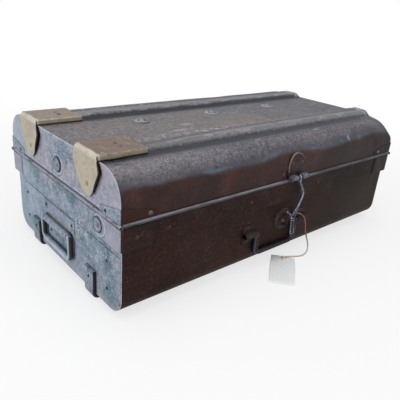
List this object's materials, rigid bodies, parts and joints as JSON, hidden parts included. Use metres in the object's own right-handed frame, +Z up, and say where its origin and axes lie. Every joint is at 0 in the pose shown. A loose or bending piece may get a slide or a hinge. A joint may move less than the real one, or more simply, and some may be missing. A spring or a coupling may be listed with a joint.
{
  "type": "tin trunk",
  "caption": "Small hinged sheet-metal trunk with a wired lid edge, skids, bail handles, brass rib caps, a hasp with a tie wire, and a blank ticket on twine.",
  "frame": {"origin": "centre of the footprint on the floor, under the skids", "axes": "+X along the trunk towards its right end, -Y towards its front with the hasp, +Z up"},
  "size_m": [0.5372, 0.3642, 0.1857],
  "materials": {
    "lid_tin": "worn dark brown lacquer on tin plate, greyer on top",
    "base_tin": "worn dark brown lacquer, blue-grey and rusty at the ends",
    "collar_tin": "worn dark brown lacquer",
    "fitting_tin": "worn lacquer and dull grey metal",
    "hardware_steel": "dull and rusty",
    "rivet_steel": "dull and rusty",
    "handle_rod": "dull dark steel",
    "edge_wire": "plain steel wire",
    "tie_wire_steel": "bare galvanised wire",
    "aged_brass": "tarnished brass",
    "brass_rivets": "tarnished brass",
    "jute": "loose brown twine",
    "ticket_paper": "blank matt paper"
  },
  "bodies": {
    "base": {"base_wrap_sheet": "base_tin", "base_end_left": "base_tin", "base_end_right": "base_tin", "end_lap_plate_left": "base_tin", "end_lap_plate_right": "base_tin", "collar_front": "collar_tin", "collar_rear": "collar_tin", "collar_left": "collar_tin", "collar_right": "collar_tin", "collar_corner_front_left": "collar_tin", "collar_corner_front_right": "collar_tin", "collar_corner_rear_left": "collar_tin", "collar_corner_rear_right": "collar_tin", "skid_front": "fitting_tin", "skid_rear": "fitting_tin", "left_handle_plate": "fitting_tin", "right_handle_plate": "fitting_tin", "front_handle_clip_left": "fitting_tin", "front_handle_clip_right": "fitting_tin", "handle_rivets": "rivet_steel", "base_rivets": "rivet_steel", "base_washers": "rivet_steel", "lock_plate": "hardware_steel", "lock_staple": "hardware_steel", "lock_rivets": "rivet_steel", "hinge_base_leaf_left": "hardware_steel", "hinge_base_leaf_right": "hardware_steel", "hinge_pin_left": "hardware_steel", "hinge_pin_right": "hardware_steel", "jute_twine": "jute", "twine_knots": "jute", "paper_ticket": "ticket_paper"},
    "lid": {"lid_wrap_sheet": "lid_tin", "lid_end_left": "lid_tin", "lid_end_right": "lid_tin", "lid_edge_wires": "edge_wire", "lid_corner_front_left": "lid_tin", "lid_corner_front_right": "lid_tin", "lid_corner_rear_left": "lid_tin", "lid_corner_rear_right": "lid_tin", "lid_stiffener": "lid_tin", "brass_cap_front": "aged_brass", "brass_cap_rear": "aged_brass", "cap_rivets": "brass_rivets", "hasp_plate": "hardware_steel", "hasp_pin": "hardware_steel", "hasp_rivets": "rivet_steel", "lid_rivets": "rivet_steel", "lid_washers": "rivet_steel", "hinge_lid_leaf_left": "hardware_steel", "hinge_lid_leaf_right": "hardware_steel"},
    "left_bail": {"left_handle_bail": "handle_rod"},
    "right_bail": {"right_handle_bail": "handle_rod"},
    "front_bail": {"front_handle_bail": "handle_rod"},
    "tie_wire": {"tie_wire": "tie_wire_steel"}
  },
  "joints": [
    {"name": "lid_hinge", "type": "hinge", "parent": "base", "child": "lid", "pos_m": [0, 0.1524, 0.1217], "axis": [-1, 0, 0], "range_deg": [0, 105]},
    {"name": "left_handle_hinge", "type": "hinge", "parent": "base", "child": "left_bail", "pos_m": [-0.264, 0.008, 0.057], "axis": [0, 1, 0], "range_deg": [0, 110]},
    {"name": "right_handle_hinge", "type": "hinge", "parent": "base", "child": "right_bail", "pos_m": [0.264, 0.008, 0.057], "axis": [0, -1, 0], "range_deg": [0, 110]},
    {"name": "front_handle_hinge", "type": "hinge", "parent": "base", "child": "front_bail", "pos_m": [-0.013, -0.1462, 0.057], "axis": [-1, 0, 0], "range_deg": [0, 110]},
    {"name": "tie_wire_hinge", "type": "hinge", "parent": "lid", "child": "tie_wire", "pos_m": [0.012, -0.1522, 0.1265], "axis": [-1, 0, 0], "range_deg": [0, 80]}
  ]
}
